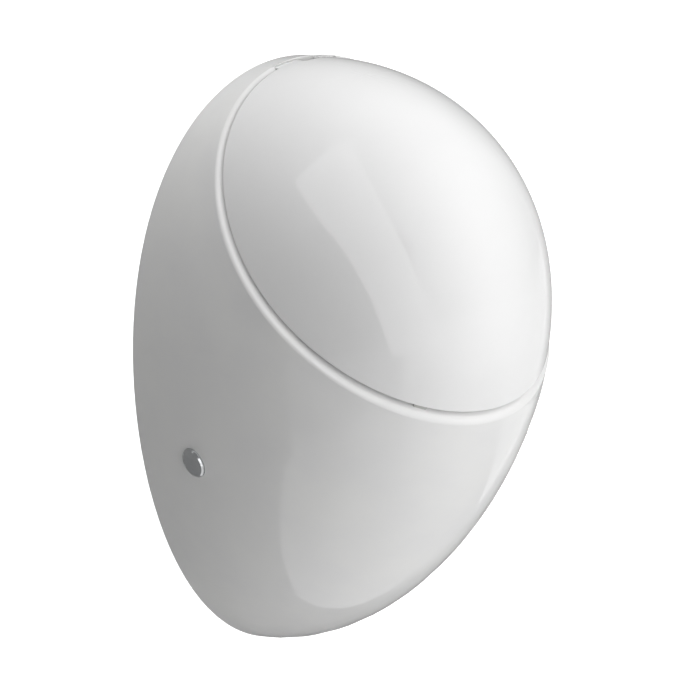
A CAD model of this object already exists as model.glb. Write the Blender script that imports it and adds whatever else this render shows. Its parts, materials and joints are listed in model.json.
import json
import math

import bpy
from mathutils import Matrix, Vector
from mathutils.bvhtree import BVHTree

# Wall-hung urinal in glazed vitreous china with a moulded lid, in a white studio.
# Metres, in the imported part's own frame: +Z up, the front faces -Y, the wall is y = 0.

MM = 0.001

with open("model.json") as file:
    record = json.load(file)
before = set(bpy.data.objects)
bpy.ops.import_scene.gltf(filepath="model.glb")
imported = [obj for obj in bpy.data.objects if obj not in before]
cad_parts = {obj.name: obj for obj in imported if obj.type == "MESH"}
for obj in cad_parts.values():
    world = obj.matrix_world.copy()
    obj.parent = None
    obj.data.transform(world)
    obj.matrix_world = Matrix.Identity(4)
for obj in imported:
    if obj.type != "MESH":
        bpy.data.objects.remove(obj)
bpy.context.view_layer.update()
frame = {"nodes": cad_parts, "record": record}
nodes = frame["nodes"]
slots = {item["node"]: item["material_slot"] for item in frame["record"]["subparts"]}


# ---- materials ----

def linear(hex_colour):
    """An sRGB hex colour as the linear colour that the shader takes."""
    shares = [int(hex_colour[i:i + 2], 16) / 255 for i in (1, 3, 5)]
    return [s / 12.92 if s <= 0.04045 else ((s + 0.055) / 1.055) ** 2.4 for s in shares] + [1.0]


def add(tree, kind, links=(), **settings):
    """A node of that kind with its settings, and its inputs by name as values or as sockets to link."""
    node = tree.nodes.new(kind)
    for key, value in settings.items():
        setattr(node, key, value)
    for name, value in links:
        if isinstance(value, bpy.types.NodeSocket):
            tree.links.new(value, node.inputs[name])
        else:
            node.inputs[name].default_value = value
    return node


# how fine the patches' noise is, and where on it the one shade ends and the other begins
PATCH_DETAIL = 3.0
SHADE_STOPS = (0.35, 0.65)


def surface(name, shades, grain, roughness, dent=0.0, metallic=0.0, ior=1.5, stretch=(1, 1, 1)):
    """A finish of two close shades in soft patches of the grain size, and dents of that grain if asked."""
    material = bpy.data.materials.new(name)
    material.use_nodes = True
    tree = material.node_tree
    shader = tree.nodes["Principled BSDF"]
    place = add(tree, "ShaderNodeTexCoord").outputs["Object"]
    place = add(tree, "ShaderNodeMapping", [("Vector", place), ("Scale", stretch)]).outputs["Vector"]
    patches = add(tree, "ShaderNodeTexNoise", [
        ("Vector", place), ("Scale", 1 / grain), ("Detail", PATCH_DETAIL)])
    ramp = add(tree, "ShaderNodeValToRGB", [("Fac", patches.outputs["Fac"])])
    for stop, position, shade in zip(ramp.color_ramp.elements, SHADE_STOPS, shades):
        stop.position = position
        stop.color = linear(shade)
    tree.links.new(ramp.outputs["Color"], shader.inputs["Base Color"])
    if dent:
        relief = add(tree, "ShaderNodeBump", [
            ("Height", patches.outputs["Fac"]), ("Distance", dent), ("Strength", 1.0)])
        tree.links.new(relief.outputs["Normal"], shader.inputs["Normal"])
    shader.inputs["Roughness"].default_value = roughness
    shader.inputs["Metallic"].default_value = metallic
    shader.inputs["IOR"].default_value = ior
    return material


FINISHES = {
    # vitreous china under a fired glaze: a clear wet gloss with the faintest change of shade
    "glazed_ceramic": surface(
        "fired_glaze_on_vitreous_china", ("#E9E9E9", "#ECECEB"), 60 * MM, 0.05),
    # thermoset lid, pressed in a polished mould
    "lid_gloss": surface("polished_moulded_thermoset", ("#EBEBEB", "#EDEDED"), 80 * MM, 0.04),
    # white rubber, moulded: soft to the eye, no gloss
    "rubber_white": surface(
        "moulded_white_rubber", ("#B6B6B3", "#BDBDBA"), 2 * MM, 0.7, dent=0.02 * MM),
    # grey rubber, moulded: dull, with a fine grain
    "rubber_grey": surface(
        "moulded_grey_rubber", ("#5A5A5B", "#666667"), 1.5 * MM, 0.75, dent=0.03 * MM),
    # zinc-plated steel: brushed along its length
    "steel": surface(
        "brushed_plated_steel", ("#A9ABAE", "#BDBFC1"), 1.2 * MM, 0.32,
        metallic=1.0, stretch=(0.08, 1, 1)),
    # ABS fittings: satin, moulded
    "white_plastic": surface("satin_moulded_abs", ("#DEDEDB", "#E5E5E2"), 4 * MM, 0.38, ior=1.53),
    # chromium plate on brass, polished
    "chrome": surface("polished_chromium_plate", ("#C9CBCD", "#D2D4D5"), 12 * MM, 0.07, metallic=1.0),
}

for name, node in nodes.items():
    node.data.materials.clear()
    node.data.materials.append(FINISHES[slots[name]])


# ---- camera: in front, to the left and a little above, far off ----

CAMERA_AZIMUTH = math.radians(-32)
CAMERA_ELEVATION = math.radians(20.31)
CAMERA_DISTANCE = 5.0
FARTHEST_SEEN = 50
PICTURE_SIDE = 700
# pixels to a metre at the frame's origin, and the pixel where that origin lies
PICTURE_SCALE = 1220.2
ORIGIN_PIXEL = (284.05, 345.47)
CAMERA_BACK = Vector((
    math.sin(CAMERA_AZIMUTH) * math.cos(CAMERA_ELEVATION),
    -math.cos(CAMERA_AZIMUTH) * math.cos(CAMERA_ELEVATION),
    math.sin(CAMERA_ELEVATION)))
CAMERA_RIGHT = Vector((math.cos(CAMERA_AZIMUTH), math.sin(CAMERA_AZIMUTH), 0))
CAMERA_UP = CAMERA_BACK.cross(CAMERA_RIGHT)


def photo_camera():
    """The camera that sees the part as the photograph does, with the origin at its pixel."""
    lens = bpy.data.cameras.new("photo_camera")
    camera = bpy.data.objects.new("photo_camera", lens)
    bpy.context.scene.collection.objects.link(camera)
    camera.location = CAMERA_BACK * CAMERA_DISTANCE
    camera.rotation_euler = (-CAMERA_BACK).to_track_quat("-Z", "Y").to_euler()
    lens.lens = lens.sensor_width * PICTURE_SCALE * CAMERA_DISTANCE / PICTURE_SIDE
    lens.shift_x = (PICTURE_SIDE / 2 - ORIGIN_PIXEL[0]) / PICTURE_SIDE
    lens.shift_y = (ORIGIN_PIXEL[1] - PICTURE_SIDE / 2) / PICTURE_SIDE
    lens.clip_end = FARTHEST_SEEN
    bpy.context.scene.camera = camera


def look_through(pixel):
    """The way that the camera looks through a pixel."""
    across = (pixel[0] - ORIGIN_PIXEL[0]) / PICTURE_SCALE
    down = (pixel[1] - ORIGIN_PIXEL[1]) / PICTURE_SCALE
    return (CAMERA_RIGHT * across - CAMERA_UP * down - CAMERA_BACK * CAMERA_DISTANCE).normalized()


# ---- studio ----

FLOOR_DEPTH = 1.0
FLOOR_HALF_SPAN = 6.0
FLOOR_GLOW = 0.4
ROOM_WHITE = 1.0

# the light that falls on things: a wide soft lamp in front, one behind and above, a smaller one behind
# and below, so that only the left side stays dim; each has its azimuth from the front and its elevation
LAMPS = (
    {"azimuth": 3, "elevation": 14, "half_angle": 35, "level": 3.1},
    {"azimuth": -176, "elevation": 53, "half_angle": 35, "level": 2.65},
    {"azimuth": -156, "elevation": -68, "half_angle": 20, "level": 3.5},
)
# each lamp fades out over this many degrees on either side of its edge
LAMP_EDGE = 5
FILL = 0.06


def seen_directly(tree):
    """1 for what the camera sees straight, mirrored or through glass, 0 for light that falls on things."""
    path = add(tree, "ShaderNodeLightPath").outputs
    mirror = add(tree, "ShaderNodeMath", [
        (0, path["Is Glossy Ray"]), (1, path["Is Transmission Ray"])], operation="MAXIMUM").outputs[0]
    return add(tree, "ShaderNodeMath", [
        (0, path["Is Camera Ray"]), (1, mirror)], operation="MAXIMUM").outputs[0]


def dot(tree, one, other):
    """The dot product of two vectors, each a socket or a fixed vector."""
    return add(tree, "ShaderNodeVectorMath", [
        (0, one), (1, other)], operation="DOT_PRODUCT").outputs["Value"]


def pointing(azimuth, elevation):
    """The direction with that azimuth from the front, towards +X, and that elevation, in degrees."""
    a = math.radians(azimuth)
    e = math.radians(elevation)
    return Vector((math.sin(a) * math.cos(e), -math.cos(a) * math.cos(e), math.sin(e)))


def white_room():
    """A white world to look at, and round soft lamps in it that light the things."""
    world = bpy.data.worlds.new("white_studio")
    bpy.context.scene.world = world
    world.use_nodes = True
    tree = world.node_tree
    tree.nodes.clear()
    way = add(tree, "ShaderNodeTexCoord").outputs["Generated"]
    level = FILL
    for lamp in LAMPS:
        nearness = dot(tree, way, pointing(lamp["azimuth"], lamp["elevation"]))
        disc = add(tree, "ShaderNodeMapRange", [
            ("Value", nearness),
            ("From Min", math.cos(math.radians(lamp["half_angle"] + LAMP_EDGE))),
            ("From Max", math.cos(math.radians(lamp["half_angle"] - LAMP_EDGE))),
            ("To Max", lamp["level"])], interpolation_type="SMOOTHSTEP").outputs["Result"]
        level = add(tree, "ShaderNodeMath", [(0, disc), (1, level)], operation="ADD").outputs[0]
    light = add(tree, "ShaderNodeBackground", [("Color", linear("#FFFFFF")), ("Strength", level)])
    backdrop = add(tree, "ShaderNodeBackground", [
        ("Color", linear("#FFFFFF")), ("Strength", ROOM_WHITE)])
    both = add(tree, "ShaderNodeMixShader", [("Fac", seen_directly(tree))])
    tree.links.new(light.outputs[0], both.inputs[1])
    tree.links.new(backdrop.outputs[0], both.inputs[2])
    add(tree, "ShaderNodeOutputWorld", [("Surface", both.outputs[0])])


def flat_piece(name, corners, material):
    """A flat stage piece with the given corners in order."""
    mesh = bpy.data.meshes.new(name)
    mesh.from_pydata([tuple(c) for c in corners], [], [range(len(corners))])
    mesh.materials.append(material)
    piece = bpy.data.objects.new(name, mesh)
    bpy.context.scene.collection.objects.link(piece)
    return piece


def pale_floor():
    """A wide pale floor below the hung object: seen from below it is clear, so it isn't in the way."""
    material = bpy.data.materials.new("pale_floor")
    material.use_nodes = True
    tree = material.node_tree
    tree.nodes.clear()
    paint = add(tree, "ShaderNodeBsdfDiffuse", [("Color", linear("#F4F4F4"))]).outputs[0]
    seen = add(tree, "ShaderNodeMath", [
        (0, seen_directly(tree)), (1, FLOOR_GLOW)], operation="MULTIPLY").outputs[0]
    glow = add(tree, "ShaderNodeEmission", [("Strength", seen)]).outputs[0]
    top = add(tree, "ShaderNodeAddShader", [(0, paint), (1, glow)]).outputs[0]
    clear = add(tree, "ShaderNodeBsdfTransparent").outputs[0]
    under = add(tree, "ShaderNodeNewGeometry").outputs["Backfacing"]
    both = add(tree, "ShaderNodeMixShader", [(0, under), (1, top), (2, clear)]).outputs[0]
    add(tree, "ShaderNodeOutputMaterial", [("Surface", both)])
    span = FLOOR_HALF_SPAN
    corners = [(-span, -span), (span, -span), (span, span), (-span, span)]
    floor = flat_piece("floor", [(x, y, -FLOOR_DEPTH) for x, y in corners], material)
    floor.visible_diffuse = False
    floor.visible_shadow = False


# what the gloss mirrors: a lit window, and grey cards behind, to the left and on the floor; each only
# shows as a reflection
CARD_GREY = 0.25
LOW_CARD_GREY = 0.6
FLOOR_CARD_GREY = 0.85
CARD_BEHIND = 0.2
CARD_REACH = 1.2
CARD_DEPTH = 1.0
LEFT_CARD_FOOT = -0.37
FLOOR_CARD_FRONT = 1.6
CARD_OVER_FLOOR = 0.01
# where the card behind begins and ends its fade, to the right and upwards
FADE_START = 0.25
FADE_END = 0.95
FADE_FOOT = 0.2
FADE_HEAD = 0.75
WINDOW_LEVEL = 1.9
WINDOW_REACH = 0.6
# pixels of the photograph where the closed lid mirrors the window's edges, from its head to its foot
WINDOW_LEFT_EDGE = ((295, 183), (345, 250), (370, 292), (392, 352))
WINDOW_RIGHT_EDGE = ((350, 140), (395, 232), (422, 290), (447, 348))
# the steps to a few pixels in a ring around each, to even out the facets of the mesh
RING_RADIUS = 4
RING_TURNS = [step * math.pi / 4 for step in range(8)]
FACET_RING = [(RING_RADIUS * math.cos(turn), RING_RADIUS * math.sin(turn)) for turn in RING_TURNS]


def mirrored_panel(name, corners, levels):
    """A panel that only reflections show, with a brightness at each corner that blends between them."""
    material = bpy.data.materials.new(name)
    material.use_nodes = True
    tree = material.node_tree
    tree.nodes.clear()
    level = add(tree, "ShaderNodeAttribute", attribute_name="level").outputs["Fac"]
    glow = add(tree, "ShaderNodeEmission", [("Strength", level)])
    add(tree, "ShaderNodeOutputMaterial", [("Surface", glow.outputs[0])])
    panel = flat_piece(name, corners, material)
    marks = panel.data.attributes.new("level", "FLOAT", "POINT")
    marks.data.foreach_set("value", levels)
    panel.visible_camera = False
    panel.visible_diffuse = False
    panel.visible_shadow = False
    panel.visible_transmission = False
    return panel


def mirrored_place(skin, pixel, reach):
    """The place that the skin mirrors to the camera at a pixel, so far off the skin."""
    eye = CAMERA_BACK * CAMERA_DISTANCE
    spot = skin.ray_cast(eye, look_through(pixel))[0]
    lean = Vector((0, 0, 0))
    for across, down in FACET_RING:
        lean += skin.ray_cast(eye, look_through((pixel[0] + across, pixel[1] + down)))[1]
    return spot + look_through(pixel).reflect(lean.normalized()) * reach


def window(skin):
    """The lit window as panes in a curved row, each as wide as its reflection asks."""
    left = [mirrored_place(skin, pixel, WINDOW_REACH) for pixel in WINDOW_LEFT_EDGE]
    right = [mirrored_place(skin, pixel, WINDOW_REACH) for pixel in WINDOW_RIGHT_EDGE]
    for count in range(len(left) - 1):
        corners = [left[count], right[count], right[count + 1], left[count + 1]]
        mirrored_panel("window_pane_%d" % count, corners, [WINDOW_LEVEL] * 4)


def grey_cards():
    """A card behind that fades into the room upwards and to the right, and cards left and on the floor."""
    ends = (-CARD_REACH, FADE_START, FADE_END)
    heights = (-CARD_DEPTH, FADE_FOOT, FADE_HEAD)
    for column in range(2):
        for row in range(2):
            spots = [(column, row), (column, row + 1), (column + 1, row + 1), (column + 1, row)]
            mirrored_panel(
                "back_card_%d_%d" % (column, row),
                [(ends[i], CARD_BEHIND, heights[k]) for i, k in spots],
                [ROOM_WHITE if 2 in (i, k) else CARD_GREY for i, k in spots])
    for name, low, high, grey in (
            ("left_card", LEFT_CARD_FOOT, CARD_DEPTH, CARD_GREY),
            ("left_card_foot", -CARD_DEPTH, LEFT_CARD_FOOT, LOW_CARD_GREY)):
        mirrored_panel(name, [
            (-CARD_REACH, -CARD_DEPTH, low), (-CARD_REACH, -CARD_DEPTH, high),
            (-CARD_REACH, CARD_BEHIND, high), (-CARD_REACH, CARD_BEHIND, low)], [grey] * 4)
    over_floor = CARD_OVER_FLOOR - FLOOR_DEPTH
    mirrored_panel("floor_card", [
        (-CARD_REACH, -FLOOR_CARD_FRONT, over_floor), (FADE_END, -FLOOR_CARD_FRONT, over_floor),
        (FADE_END, CARD_BEHIND, over_floor), (-CARD_REACH, CARD_BEHIND, over_floor)],
        [FLOOR_CARD_GREY] * 4)


def studio():
    """The room, the floor, and what the gloss mirrors."""
    white_room()
    pale_floor()
    lid = nodes["lid_shell"].data
    window(BVHTree.FromPolygons([v.co for v in lid.vertices], [tuple(p.vertices) for p in lid.polygons]))
    grey_cards()


studio()
photo_camera()
bpy.context.scene.view_settings.view_transform = "Standard"
